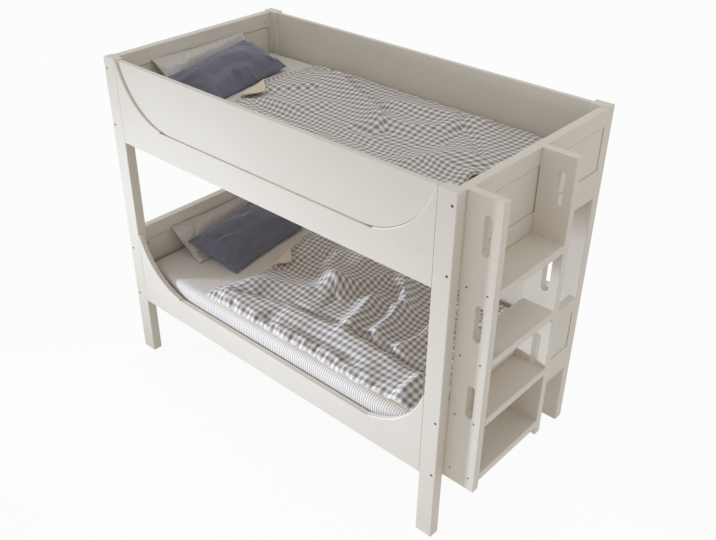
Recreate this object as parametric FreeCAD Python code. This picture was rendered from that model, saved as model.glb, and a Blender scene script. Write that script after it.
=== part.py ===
"""Bunk bed: two bunks between four full-height posts, with a fixed ladder at the foot end.

Each bunk has a framed panel at both ends, a front rail with two arched corner brackets, a back
board, and a slatted base that carries a mattress, two pillows and a quilt. The upper bunk also has
a guard board behind its front rail. Millimetres, +Z up. Pieces are drawn about the bed's own middle,
X along the bed with the ladder at +X, Y across it with the open front at -Y, and are then
moved so that the origin is on the floor under the middle of bed and ladder together.
"""
import FreeCAD, Part
import math
import os

V = FreeCAD.Vector

# Bed as a whole
BED_LENGTH = 2080.0
BED_WIDTH = 1100.0
BED_HEIGHT = 1712.0
LOWER_Z = 345.0
FRAME_HEIGHT = 417.0
POST_TOP_RISE = 5.0

# Posts
POST_WIDTH = 86.0
POST_DEPTH = 52.0
POST_EDGE = 4.0

# End frames: rails, stiles and the panel that floats in their grooves
END_THICK = 40.0
TOP_RAIL_HEIGHT = 79.0
RAIL_HEIGHT = 137.0
STILE_WIDTH = 12.0
PANEL_THICK = 22.0
PANEL_TONGUE = 5.0
PANEL_FIELD_THICK = 33.0
PANEL_FIELD_ROOM = 3.0
GROOVE_ROOM = 0.5

# Front rails, brackets, guard and back boards
FRONT_THICK = 28.0
BRACKET_RADIUS = 370.0
BRACKET_TIP = 7.0
BRACKET_HORN = 10.0
ARCH_EDGE = 5.0
GUARD_THICK = 11.0
GUARD_LAP = 60.0
GUARD_STEP = 11.0
GUARD_FIELD_ROOM = 1.5
BACK_THICK = 22.0
BACK_INSET = 15.0
BOARD_EDGE = 2.5
BRACKET_EDGE = 1.5
BOARD_ROOM = 0.3

# Slatted base
BASE_RISE = 58.0
SLAT_THICK = 18.0
SLAT_WIDTH = 70.0
SLAT_COUNT = 14
SLAT_ROOM = 2.0
SLAT_END_SPACE = 20.0
CLEAT_SIZE = 28.0
CLEAT_END_SPACE = 45.0
TAPE_WIDTH = 22.0
TAPE_THICK = 1.2
TAPE_SPACING = 620.0

# Bedding
SOFT_GAP = 0.3
MATTRESS_END_ROOM = 7.5
MATTRESS_SIDE_ROOM = 6.0
MATTRESS_THICK = 150.0
MATTRESS_SHOULDER = 34.0
MATTRESS_END_ROUND = 20.0
MATTRESS_DRAW = 9.0
PILLOW_WIDTH = 600.0
PILLOW_DRAW = 9.0
PILLOW_EDGE = 0.16
LOWER_GREY_PILLOW_FOOT = 310.0
UPPER_GREY_PILLOW_FOOT = 230.0
GREY_PILLOW_RISE = 146.0
GREY_PILLOW_CROWN = 40.0
GREY_PILLOW_BELLY = 18.0
LOWER_BLUE_PILLOW_FOOT = 425.0
UPPER_BLUE_PILLOW_FOOT = 360.0
BLUE_PILLOW_LENGTH = 345.0
BLUE_PILLOW_CROWN = 72.0
LOWER_QUILT_HEAD = 440.0
UPPER_QUILT_HEAD = 372.0
QUILT_FOOT = 110.0
QUILT_SIDE_ROOM = 9.0
QUILT_EDGE = 16.0
QUILT_LOFT = 34.0
QUILT_FOLD = 13.0
QUILT_STATIONS = 7
QUILT_RIDGES = 4

# Ladder: the lowest tread is set from its foot, the top one from the upper bunk, and the others
# between them at one pitch, with a taller last step
LADDER_DEPTH = 153.0
LADDER_WIDTH = 514.0
LADDER_INSET = 6.0
SIDE_THICK = 37.0
TREAD_THICK = 37.0
TREAD_COUNT = 4
TREAD_FIRST_RISE = 62.0
TREAD_TOP_RISE = 27.0
TREAD_LAST_STEP_EXTRA = 18.0
TREAD_BACK_ROOM = 0.8
SLOT_WIDTH = 34.0
SLOT_LENGTH = 164.0
SLOT_COUNT = 3
SLOT_FIRST_RISE = 455.0
SLOT_TOP_DROP = 153.0
SLOT_FROM_BED = 95.0

# Fasteners
LOWER_BOLT_FROM_BOTTOM = 23.0
LOWER_BOLT_FROM_TOP = 104.0
UPPER_BOLT_FROM_BOTTOM = 78.0
UPPER_BOLT_FROM_TOP = 50.0
BOLT_RADIUS = 3.0
BOLT_HEAD_RADIUS = 6.5
BOLT_HEAD_DEPTH = 3.0
BOLT_SOCKET_RADIUS = 2.6
BOLT_REACH = 45.0
NUT_RADIUS = 5.0
NUT_LENGTH = 14.0
NUT_FROM_POST = 35.0
CAM_RADIUS = 7.5
CAM_DEPTH = 14.0
CAM_FROM_END = 24.0
CAM_BOLT_RADIUS = 3.5
CAM_BOLT_IN_POST = 11.0
CAM_FROM_EDGE = 38.0
DOWEL_RADIUS = 4.0
DOWEL_HALF = 18.0
DOWEL_STEPS = (60.0, 180.0)
DOWEL_RISE = 150.0
SCREW_RADIUS = 2.5
SCREW_HEAD_RADIUS = 4.6
SCREW_HEAD_DEPTH = 2.6
SCREW_SOCKET_RADIUS = 1.7
GUARD_SCREW_LENGTH = 29.0
GUARD_SCREW_COUNT = 4
GUARD_SCREW_FROM_POST = 30.0
GUARD_SCREW_RISE = 112.0
GUARD_SCREW_STEP = 120.0
CLEAT_SCREW_LENGTH = 43.0
CLEAT_SCREW_COUNT = 5
TREAD_SCREW_LENGTH = 69.0
TREAD_SCREW_INSET = 30.0
LADDER_SCREW_LENGTH = 78.0
LADDER_SCREW_FROM_TOP = 20.0
LADDER_SCREW_FROM_BOTTOM = 45.0
DRILL_ROOM = 0.1

# Places that follow from the sizes
UPPER_Z = BED_HEIGHT - POST_TOP_RISE - FRAME_HEIGHT
END_X = BED_LENGTH / 2
POST_IN_X = END_X - POST_WIDTH
FRAME_IN_X = END_X - END_THICK
FRAME_MID_X = END_X - END_THICK / 2
SIDE_Y = BED_WIDTH / 2
POST_IN_Y = SIDE_Y - POST_DEPTH
FRONT_IN_Y = -SIDE_Y + FRONT_THICK
GUARD_IN_Y = FRONT_IN_Y + GUARD_THICK
BACK_OUT_Y = SIDE_Y - BACK_INSET
BACK_IN_Y = BACK_OUT_Y - BACK_THICK
LADDER_NEAR_Y = -POST_IN_Y + LADDER_INSET
LADDER_FAR_Y = LADDER_NEAR_Y + LADDER_WIDTH
BOLT_HEIGHTS = (LOWER_Z + LOWER_BOLT_FROM_BOTTOM, LOWER_Z + FRAME_HEIGHT - LOWER_BOLT_FROM_TOP,
                UPPER_Z + UPPER_BOLT_FROM_BOTTOM, UPPER_Z + FRAME_HEIGHT - UPPER_BOLT_FROM_TOP)
TREAD_FIRST = LOWER_Z + TREAD_FIRST_RISE
TREAD_TOP = UPPER_Z + TREAD_TOP_RISE
TREAD_PITCH = (TREAD_TOP - TREAD_LAST_STEP_EXTRA - TREAD_FIRST) / (TREAD_COUNT - 1)
TREAD_HEIGHTS = [TREAD_FIRST + TREAD_PITCH * k for k in range(TREAD_COUNT - 1)] + [TREAD_TOP]
SLOT_FIRST = LOWER_Z + SLOT_FIRST_RISE
SLOT_PITCH = (UPPER_Z + FRAME_HEIGHT - SLOT_TOP_DROP - SLOT_FIRST) / (SLOT_COUNT - 1)
SLOT_HEIGHTS = [SLOT_FIRST + SLOT_PITCH * k for k in range(SLOT_COUNT)]
MATTRESS_LENGTH = (FRAME_IN_X - MATTRESS_END_ROOM) * 2
MATTRESS_WIDTH = (min(POST_IN_Y, -GUARD_IN_Y, BACK_IN_Y) - MATTRESS_SIDE_ROOM) * 2
QUILT_WIDTH = MATTRESS_WIDTH - QUILT_SIDE_ROOM * 2
BUNKS = {"lower": LOWER_Z, "upper": UPPER_Z}
ENDS = {"head": -1, "foot": 1}
ORIGIN_SHIFT = V(-LADDER_DEPTH / 2, 0, 0)


def box(x0, x1, y0, y1, z0, z1):
    """A square block between two corners, given in any order along each axis."""
    low = V(min(x0, x1), min(y0, y1), min(z0, z1))
    return Part.makeBox(abs(x1 - x0), abs(y1 - y0), abs(z1 - z0), low)


def rod(radius, start, end):
    """A round bar from one point to another."""
    return Part.makeCylinder(radius, (end - start).Length, start, end - start)


def drilled(shape, tools):
    """The shape with the given holes cut out of it."""
    return shape.cut(Part.makeCompound(tools)) if tools else shape


def eased(shape, radius, axis=None):
    """A block with rounded edges: all of them, or only those along one axis."""
    edges = shape.Edges
    if axis is not None:
        edges = [e for e in edges if abs(e.tangentAt(e.FirstParameter).dot(axis)) > 0.999]
    return shape.makeFillet(radius, edges)


def screw(start, end, socket=SCREW_SOCKET_RADIUS, head=SCREW_HEAD_RADIUS, depth=SCREW_HEAD_DEPTH,
          shank=SCREW_RADIUS):
    """A countersunk screw whose flat head is flush at start, with a round drive socket in it."""
    along = (end - start).normalize()
    cone = Part.makeCone(head, shank, depth, start, along)
    body = cone.fuse(rod(shank, start + along * depth, end)).removeSplitter()
    return body.cut(rod(socket, start, start + along * depth))


def screw_hole(start, end, head=SCREW_HEAD_RADIUS, depth=SCREW_HEAD_DEPTH, shank=SCREW_RADIUS):
    """The hole that the screw above fits, a little wider than it."""
    along = (end - start).normalize()
    room = DRILL_ROOM
    sink = Part.makeCone(head + room, shank + room, depth, start, along)
    return sink.fuse(rod(shank + room, start, end + along * room))


def save(name, *solids):
    """Move the piece, or the group of like pieces, to the part's origin and write it."""
    shape = solids[0] if len(solids) == 1 else Part.makeCompound(list(solids))
    shape = shape.copy()
    shape.translate(ORIGIN_SHIFT)
    shape.exportStep("parts/%s.step" % name)


def bracket_centre(z):
    """Middle of the arch's circle, in X and Z, for the bracket at the foot end of a bunk."""
    centre_z = z + RAIL_HEIGHT + BRACKET_RADIUS
    drop = centre_z - (z + FRAME_HEIGHT)
    reach = math.sqrt(BRACKET_RADIUS ** 2 - drop ** 2)
    return POST_IN_X - BRACKET_HORN - reach, centre_z


# Holes and fasteners are worked out first, so that each piece can be drilled to match
def post_bolt_lines():
    """Start, end and barrel nut middle of each connector bolt that ties a post to an end frame."""
    lines = []
    for x in (-FRAME_MID_X, FRAME_MID_X):
        for side in (-1, 1):
            for z in BOLT_HEIGHTS:
                start = V(x, side * SIDE_Y, z)
                end = V(x, side * (POST_IN_Y - BOLT_REACH), z)
                lines.append((start, end, V(x, side * (POST_IN_Y - NUT_FROM_POST), z)))
    return lines


def post_bolt(start, end):
    return screw(start, end, BOLT_SOCKET_RADIUS, BOLT_HEAD_RADIUS, BOLT_HEAD_DEPTH, BOLT_RADIUS)


def post_bolt_hole(start, end):
    return screw_hole(start, end, BOLT_HEAD_RADIUS, BOLT_HEAD_DEPTH, BOLT_RADIUS)


def barrel_nut(middle):
    """A cross dowel nut, lying along the bed in the end frame's thickness."""
    half = V(NUT_LENGTH / 2, 0, 0)
    across = V(0, NUT_RADIUS * 2, 0)
    body = rod(NUT_RADIUS, middle - half, middle + half)
    return body.cut(rod(BOLT_RADIUS + DRILL_ROOM, middle - across, middle + across))


def barrel_nut_hole(middle):
    """Blind hole for the nut, drilled from the inside of the bed."""
    outward = 1 if middle.x > 0 else -1
    inner = V(outward * FRAME_IN_X, middle.y, middle.z)
    outer = middle + V(outward * (NUT_LENGTH / 2 + DRILL_ROOM), 0, 0)
    return rod(NUT_RADIUS + DRILL_ROOM, inner, outer)


BOLT_LINES = post_bolt_lines()
BOLT_HOLES = [post_bolt_hole(start, end) for start, end, nut in BOLT_LINES]
NUT_HOLES = [barrel_nut_hole(nut) for start, end, nut in BOLT_LINES]


def cam_places():
    """Cam fittings of the long boards: end sign, height, bolt line in Y and the cam's face in Y."""
    places = []
    for z in BUNKS.values():
        for end in ENDS.values():
            for height in (z + CAM_FROM_EDGE, z + RAIL_HEIGHT - CAM_FROM_EDGE):
                places.append((end, height, -SIDE_Y + FRONT_THICK / 2, FRONT_IN_Y, -1))
            for height in (z + CAM_FROM_EDGE, z + FRAME_HEIGHT - CAM_FROM_EDGE):
                places.append((end, height, BACK_OUT_Y - BACK_THICK / 2, BACK_OUT_Y, -1))
    return places


def cam_disc(place, room=0.0):
    end, z, line_y, face_y, inward = place
    x = end * (POST_IN_X - CAM_FROM_END)
    return rod(CAM_RADIUS + room, V(x, face_y, z), V(x, face_y + inward * (CAM_DEPTH + room), z))


def cam_bolt(place, room=0.0):
    end, z, line_y, face_y, inward = place
    stop = POST_IN_X - CAM_FROM_END + CAM_RADIUS + DRILL_ROOM * 2
    return rod(CAM_BOLT_RADIUS + room, V(end * (stop - room), line_y, z),
               V(end * (POST_IN_X + CAM_BOLT_IN_POST + room), line_y, z))


CAM_PLACES = cam_places()
CAM_HOLES = [cam_disc(place, DRILL_ROOM) for place in CAM_PLACES]
CAM_BOLT_HOLES = [cam_bolt(place, DRILL_ROOM) for place in CAM_PLACES]


def bracket_dowels(room=0.0):
    """Wooden dowels between each bracket and its rail, and between each bracket and its post."""
    pins = []
    y = -SIDE_Y + FRONT_THICK / 2
    for z in BUNKS.values():
        joint = z + RAIL_HEIGHT
        reach = DOWEL_HALF + room
        for end in ENDS.values():
            for step in DOWEL_STEPS:
                x = end * (POST_IN_X - step)
                pins.append(rod(DOWEL_RADIUS + room, V(x, y, joint - reach), V(x, y, joint + reach)))
            level = joint + DOWEL_RISE
            pins.append(rod(DOWEL_RADIUS + room, V(end * (POST_IN_X - reach), y, level),
                            V(end * (POST_IN_X + reach), y, level)))
    return pins


DOWEL_HOLES = bracket_dowels(DRILL_ROOM)


def guard_screw_lines():
    """Screws from inside the upper bunk, through the guard board into the rail and the brackets."""
    joint = UPPER_Z + RAIL_HEIGHT
    pitch = POST_IN_X * 2 / GUARD_SCREW_COUNT
    spots = [(pitch * (k + 0.5) - POST_IN_X, joint - GUARD_LAP / 2) for k in range(GUARD_SCREW_COUNT)]
    for end in ENDS.values():
        spots.append((end * (POST_IN_X - GUARD_SCREW_FROM_POST), joint + GUARD_SCREW_RISE))
        spots.append((end * (POST_IN_X - GUARD_SCREW_STEP), joint + GUARD_SCREW_FROM_POST))
    return [(V(x, GUARD_IN_Y, z), V(x, GUARD_IN_Y - GUARD_SCREW_LENGTH, z)) for x, z in spots]


def cleat_screw_lines(z):
    """Screws through the front and the back cleat of the bunk at height z."""
    lines = []
    height = z + BASE_RISE - SLAT_THICK - CLEAT_SIZE / 2
    span = (POST_IN_X - CLEAT_END_SPACE) * 2
    for k in range(CLEAT_SCREW_COUNT):
        x = -span / 2 + span * (k + 0.5) / CLEAT_SCREW_COUNT
        front = FRONT_IN_Y + CLEAT_SIZE
        lines.append((V(x, front, height), V(x, front - CLEAT_SCREW_LENGTH, height)))
        back = BACK_IN_Y - CLEAT_SIZE
        lines.append((V(x, back, height), V(x, back + CLEAT_SCREW_LENGTH, height)))
    return lines


def tread_screw_lines():
    """Two screws through each ladder side into each end of each tread."""
    lines = []
    for z in TREAD_HEIGHTS:
        for x in (END_X + TREAD_SCREW_INSET, END_X + LADDER_DEPTH - TREAD_SCREW_INSET):
            near = V(x, LADDER_NEAR_Y, z)
            far = V(x, LADDER_FAR_Y, z)
            lines.append((near, near + V(0, TREAD_SCREW_LENGTH, 0)))
            lines.append((far, far - V(0, TREAD_SCREW_LENGTH, 0)))
    return lines


def ladder_screw_lines():
    """Screws from inside the bunks, through the foot end's rails into the ladder sides' edges."""
    lines = []
    for y in (LADDER_NEAR_Y + SIDE_THICK / 2, LADDER_FAR_Y - SIDE_THICK / 2):
        for z in BUNKS.values():
            for level in (z + LADDER_SCREW_FROM_BOTTOM, z + FRAME_HEIGHT - LADDER_SCREW_FROM_TOP):
                start = V(FRAME_IN_X, y, level)
                lines.append((start, start + V(LADDER_SCREW_LENGTH, 0, 0)))
    return lines


GUARD_LINES = guard_screw_lines()
CLEAT_LINES = [line for z in BUNKS.values() for line in cleat_screw_lines(z)]
TREAD_LINES = tread_screw_lines()
LADDER_LINES = ladder_screw_lines()
GUARD_HOLES = [screw_hole(*line) for line in GUARD_LINES]
CLEAT_HOLES = [screw_hole(*line) for line in CLEAT_LINES]
TREAD_HOLES = [screw_hole(*line) for line in TREAD_LINES]
LADDER_HOLES = [screw_hole(*line) for line in LADDER_LINES]


def touching(tools, shape):
    """Only the holes whose boxes meet the shape's box, to keep each cut small."""
    return [tool for tool in tools if tool.BoundBox.intersect(shape.BoundBox)]


# Posts: full-height square timber with rounded edges
def post(end, side):
    block = box(end * POST_IN_X, end * END_X, side * POST_IN_Y, side * SIDE_Y, 0, BED_HEIGHT)
    block = eased(block, POST_EDGE)
    return drilled(block, touching(BOLT_HOLES + CAM_BOLT_HOLES + DOWEL_HOLES, block))


# End frames: two rails, a pair of narrow stiles and a panel set back on both faces
def end_frame(name, end, z):
    outer = end * END_X
    inner = end * FRAME_IN_X
    top = z + FRAME_HEIGHT
    field_low = z + RAIL_HEIGHT
    field_high = top - TOP_RAIL_HEIGHT
    field_y = POST_IN_Y - STILE_WIDTH
    mid = end * FRAME_MID_X
    half = PANEL_THICK / 2
    reach = PANEL_TONGUE + GROOVE_ROOM
    groove = box(mid - half, mid + half, -field_y - reach, field_y + reach,
                 field_low - reach, field_high + reach)
    holes = BOLT_HOLES + NUT_HOLES + LADDER_HOLES

    top_rail = eased(box(outer, inner, -POST_IN_Y, POST_IN_Y, field_high, top), BOARD_EDGE, V(0, 1, 0))
    low_rail = eased(box(outer, inner, -POST_IN_Y, POST_IN_Y, z, field_low), BOARD_EDGE, V(0, 1, 0))
    save(name + "_top_rail", drilled(top_rail, touching([groove] + holes, top_rail)))
    save(name + "_bottom_rail", drilled(low_rail, touching([groove] + holes, low_rail)))

    stiles = []
    for side in (-1, 1):
        stile = box(outer, inner, side * field_y, side * POST_IN_Y, field_low, field_high)
        stiles.append(drilled(stile, touching([groove] + holes, stile)))
    save(name + "_stiles", *stiles)

    panel = box(mid - half, mid + half, -field_y - PANEL_TONGUE, field_y + PANEL_TONGUE,
                field_low - PANEL_TONGUE, field_high + PANEL_TONGUE)
    rise = PANEL_FIELD_THICK / 2
    room = PANEL_FIELD_ROOM
    field = box(mid - rise, mid + rise, -field_y + room, field_y - room,
                field_low + room, field_high - room)
    panel = panel.fuse(field)
    save(name + "_panel", drilled(panel, touching(holes, panel)))


# Front of a bunk: a long rail and, standing on it, an arched bracket against each post
def front_rail(z):
    rail = box(-POST_IN_X, POST_IN_X, -SIDE_Y, FRONT_IN_Y, z, z + RAIL_HEIGHT)
    rail = eased(rail, BOARD_EDGE, V(1, 0, 0))
    holes = CAM_HOLES + CAM_BOLT_HOLES + DOWEL_HOLES + GUARD_HOLES + CLEAT_HOLES
    return drilled(rail, touching(holes, rail))


def bracket(end, z):
    centre_x, centre_z = bracket_centre(z)
    joint = z + RAIL_HEIGHT
    top = z + FRAME_HEIGHT
    tip_x = centre_x + math.sqrt(BRACKET_RADIUS ** 2 - (BRACKET_RADIUS - BRACKET_TIP) ** 2)
    horn_x = POST_IN_X - BRACKET_HORN
    high = math.atan2(top - centre_z, horn_x - centre_x)
    low = math.atan2(joint + BRACKET_TIP - centre_z, tip_x - centre_x)
    middle = (high + low) / 2

    def at(x, height):
        return V(end * x, -SIDE_Y, height)

    on_arch = at(centre_x + BRACKET_RADIUS * math.cos(middle),
                 centre_z + BRACKET_RADIUS * math.sin(middle))
    horn = at(horn_x, top)
    tip = at(tip_x, joint + BRACKET_TIP)
    outline = Part.Wire([
        Part.LineSegment(at(POST_IN_X, joint), at(POST_IN_X, top)).toShape(),
        Part.LineSegment(at(POST_IN_X, top), horn).toShape(),
        Part.Arc(horn, on_arch, tip).toShape(),
        Part.LineSegment(tip, at(tip_x, joint)).toShape(),
        Part.LineSegment(at(tip_x, joint), at(POST_IN_X, joint)).toShape(),
    ])
    block = Part.Face(outline).extrude(V(0, FRONT_THICK, 0))
    block = eased_arch(block)
    return drilled(block, touching(DOWEL_HOLES + GUARD_HOLES, block))


def eased_arch(block):
    """Round both edges of the arch well, and the front edges at the post and the rail a little."""
    arches = [e for e in block.Edges if hasattr(e.Curve, "Radius")]
    block = block.makeFillet(ARCH_EDGE, arches)
    front = [e for e in block.Edges if abs(e.BoundBox.YMax + SIDE_Y) < BRACKET_EDGE]
    straight = [e for e in front if not hasattr(e.Curve, "Radius")]
    return block.makeFillet(BRACKET_EDGE, sorted(straight, key=lambda e: e.Length)[-2:])


# Guard board of the upper bunk, behind the rail and the brackets, with a raised field that fills
# the arched opening nearly to its face
def guard_board():
    low = UPPER_Z + RAIL_HEIGHT - GUARD_LAP
    reach = POST_IN_X - BOARD_ROOM
    board = box(-reach, reach, FRONT_IN_Y, GUARD_IN_Y, low, UPPER_Z + FRAME_HEIGHT)
    board = board.fuse(guard_field()).removeSplitter()
    top = [e for e in board.Edges if e.BoundBox.ZMin > UPPER_Z + FRAME_HEIGHT - BOARD_EDGE]
    board = board.makeFillet(BOARD_EDGE, sorted(top, key=lambda e: e.Length)[-2:])
    return drilled(board, touching(GUARD_HOLES, board))


def guard_field():
    centre_x, centre_z = bracket_centre(UPPER_Z)
    radius = BRACKET_RADIUS - GUARD_FIELD_ROOM
    top = UPPER_Z + FRAME_HEIGHT
    face_y = -SIDE_Y + GUARD_STEP
    high = -math.asin((centre_z - top) / radius)
    middle = (high - math.pi / 2) / 2

    def at(end, angle):
        return V(end * (centre_x + radius * math.cos(angle)), face_y, centre_z + radius * math.sin(angle))

    lows = [at(end, -math.pi / 2) for end in (-1, 1)]
    tops = [at(end, high) for end in (-1, 1)]
    outline = Part.Wire([
        Part.LineSegment(lows[0], lows[1]).toShape(),
        Part.Arc(lows[1], at(1, middle), tops[1]).toShape(),
        Part.LineSegment(tops[1], tops[0]).toShape(),
        Part.Arc(tops[0], at(-1, middle), lows[0]).toShape(),
    ])
    return Part.Face(outline).extrude(V(0, FRONT_THICK - GUARD_STEP, 0))


# Back board of a bunk, between the back posts
def back_board(z):
    board = box(-POST_IN_X, POST_IN_X, BACK_IN_Y, BACK_OUT_Y, z, z + FRAME_HEIGHT)
    board = eased(board, BOARD_EDGE, V(1, 0, 0))
    return drilled(board, touching(CAM_HOLES + CAM_BOLT_HOLES + CLEAT_HOLES, board))


# Slatted base: a cleat along each side, loose slats on them and two tapes that space the slats
def cleats(z):
    top = z + BASE_RISE - SLAT_THICK
    reach = POST_IN_X - CLEAT_END_SPACE
    front = box(-reach, reach, FRONT_IN_Y, FRONT_IN_Y + CLEAT_SIZE, top - CLEAT_SIZE, top)
    back = box(-reach, reach, BACK_IN_Y - CLEAT_SIZE, BACK_IN_Y, top - CLEAT_SIZE, top)
    return [drilled(piece, touching(CLEAT_HOLES, piece)) for piece in (front, back)]


def slats(z):
    top = z + BASE_RISE
    reach = FRAME_IN_X - SLAT_END_SPACE
    pitch = (reach * 2 - SLAT_WIDTH) / (SLAT_COUNT - 1)
    row = []
    for k in range(SLAT_COUNT):
        x = -reach + pitch * k
        outer = k in (0, SLAT_COUNT - 1)
        front = -POST_IN_Y + SLAT_ROOM if outer else FRONT_IN_Y + SLAT_ROOM
        back = POST_IN_Y - SLAT_ROOM if outer else BACK_IN_Y - SLAT_ROOM
        row.append(box(x, x + SLAT_WIDTH, front, back, top - SLAT_THICK, top))
    return row


def slat_tapes(z):
    under = z + BASE_RISE - SLAT_THICK
    reach = FRAME_IN_X - SLAT_END_SPACE
    half = TAPE_WIDTH / 2
    tapes = []
    for y in (-TAPE_SPACING / 2, TAPE_SPACING / 2):
        tapes.append(box(-reach, reach, y - half, y + half, under - TAPE_THICK, under))
    return tapes


def bed_top(z):
    """Level of the mattress's top in the bunk at height z."""
    return z + BASE_RISE + SOFT_GAP + MATTRESS_THICK


# Mattress: foam block with rounded shoulders and sides that draw in between the corners
def mattress(z):
    low = z + BASE_RISE + SOFT_GAP
    high = bed_top(z)
    round_off = MATTRESS_SHOULDER * (1 - math.sqrt(0.5))

    def section(x, half):
        flat = half - MATTRESS_SHOULDER
        shoulder = high - MATTRESS_SHOULDER

        def at(y, height):
            return V(x, y, height)

        waist = half - MATTRESS_DRAW / 2
        waist_z = (low + shoulder) / 2
        turn = half - round_off
        turn_z = high - round_off
        return Part.Wire([
            Part.LineSegment(at(-half, low), at(half, low)).toShape(),
            Part.Arc(at(half, low), at(waist, waist_z), at(half, shoulder)).toShape(),
            Part.Arc(at(half, shoulder), at(turn, turn_z), at(flat, high)).toShape(),
            Part.LineSegment(at(flat, high), at(-flat, high)).toShape(),
            Part.Arc(at(-flat, high), at(-turn, turn_z), at(-half, shoulder)).toShape(),
            Part.Arc(at(-half, shoulder), at(-waist, waist_z), at(-half, low)).toShape(),
        ])

    half_length = MATTRESS_LENGTH / 2
    half_width = MATTRESS_WIDTH / 2
    stations = [(-half_length, half_width), (0.0, half_width - MATTRESS_DRAW), (half_length, half_width)]
    block = Part.makeLoft([section(x, half) for x, half in stations], True, True)
    ends = []
    for edge in block.Edges:
        at = edge.CenterOfMass
        if abs(at.z - high) < SOFT_GAP and abs(abs(at.x) - half_length) < SOFT_GAP:
            ends.append(edge)
    return block.makeFillet(MATTRESS_END_ROUND, ends)


# Pillows: two sewn sides that crown in the middle and thin out to a seam, leaning at the head end
def lens(y, foot, head, belly, crown):
    """Outline of a pillow at one place across it, from its foot edge to its head edge."""
    along = (head - foot).normalize()
    over = V(-along.z, 0, along.x)
    if over.z < 0:
        over = over * -1
    middle = (foot + head) * 0.5
    lift = V(0, y, 0)
    upper = Part.Arc(foot + lift, middle + over * crown + lift, head + lift).toShape()
    if belly > 0:
        under = Part.Arc(head + lift, middle - over * belly + lift, foot + lift).toShape()
    else:
        under = Part.LineSegment(head + lift, foot + lift).toShape()
    return Part.Wire([upper, under])


def pillow(foot, head, belly, crown):
    """Loft across the bed: thin at both ends, full in the middle, drawn in between the corners."""
    along = (head - foot).normalize()
    half = PILLOW_WIDTH / 2
    stations = ((-1.0, 0.0), (-0.72, 0.72), (-0.3, 1.0), (0.3, 1.0), (0.72, 0.72), (1.0, 0.0))
    wires = []
    for place, full in stations:
        share = PILLOW_EDGE + (1 - PILLOW_EDGE) * full
        draw = along * (PILLOW_DRAW * full)
        wires.append(lens(place * half, foot + draw, head - draw, belly * share, crown * share))
    return Part.makeLoft(wires, True, True)


def grey_pillow_edges(z, from_head):
    """Foot edge on the mattress, head edge against the headboard's top rail."""
    level = bed_top(z) + SOFT_GAP
    foot = V(-FRAME_IN_X + from_head, 0, level)
    head = V(-FRAME_IN_X + SOFT_GAP, 0, level + GREY_PILLOW_RISE)
    return foot, head


def grey_pillow(z, from_head):
    foot, head = grey_pillow_edges(z, from_head)
    return pillow(foot, head, GREY_PILLOW_BELLY, GREY_PILLOW_CROWN)


def blue_pillow(z, from_head, grey_from_head):
    """Flat-backed pillow that lies from the mattress up over the crown of the grey one."""
    grey_foot, grey_head = grey_pillow_edges(z, grey_from_head)
    along = (grey_head - grey_foot).normalize()
    grey_foot = grey_foot + along * PILLOW_DRAW
    grey_head = grey_head - along * PILLOW_DRAW
    over = V(along.z, 0, -along.x)
    chord = (grey_head - grey_foot).Length
    radius = (chord ** 2 / 4 + GREY_PILLOW_CROWN ** 2) / (2 * GREY_PILLOW_CROWN)
    centre = (grey_foot + grey_head) * 0.5 + over * (GREY_PILLOW_CROWN - radius)
    foot = V(-FRAME_IN_X + from_head, 0, bed_top(z) + SOFT_GAP)
    to_centre = centre - foot
    lean = math.atan2(to_centre.z, to_centre.x)
    lean -= math.asin((radius + SOFT_GAP) / to_centre.Length)
    head = foot + V(math.cos(lean), 0, math.sin(lean)) * BLUE_PILLOW_LENGTH
    return pillow(foot, head, 0.0, BLUE_PILLOW_CROWN)


# Quilt: laid flat on the mattress, with a few long soft folds that wander across it
def quilt(z, from_head):
    low = bed_top(z) + SOFT_GAP
    half = QUILT_WIDTH / 2
    start = -FRAME_IN_X + from_head
    span = FRAME_IN_X - QUILT_FOOT - start
    ridge = QUILT_WIDTH / QUILT_RIDGES

    def section(k):
        x = start + span * k / (QUILT_STATIONS - 1)
        ends = k in (0, QUILT_STATIONS - 1)
        loft = QUILT_EDGE if ends else QUILT_LOFT

        def at(y, height):
            return V(x, y, low + height)

        valleys = [-half]
        for j in range(1, QUILT_RIDGES):
            valleys.append(-half + ridge * (j + 0.28 * math.sin(1.9 * k + 2.3 * j)))
        valleys.append(half)
        heights = [QUILT_EDGE]
        for j in range(1, QUILT_RIDGES):
            heights.append(loft + 0.3 * QUILT_FOLD * math.sin(2.7 * k + 1.4 * j))
        heights.append(QUILT_EDGE)
        edges = [Part.LineSegment(at(-half, 0), at(-half, QUILT_EDGE)).toShape()]
        for j in range(QUILT_RIDGES):
            a = at(valleys[j], heights[j])
            b = at(valleys[j + 1], heights[j + 1])
            swell = QUILT_FOLD * (0.4 if ends else 1.0 + 0.4 * math.sin(1.3 * k + 1.7 * j))
            edges.append(Part.Arc(a, (a + b) * 0.5 + V(0, 0, swell), b).toShape())
        edges.append(Part.LineSegment(at(half, QUILT_EDGE), at(half, 0)).toShape())
        edges.append(Part.LineSegment(at(half, 0), at(-half, 0)).toShape())
        return Part.Wire(edges)

    return Part.makeLoft([section(k) for k in range(QUILT_STATIONS)], True, True)


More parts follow.
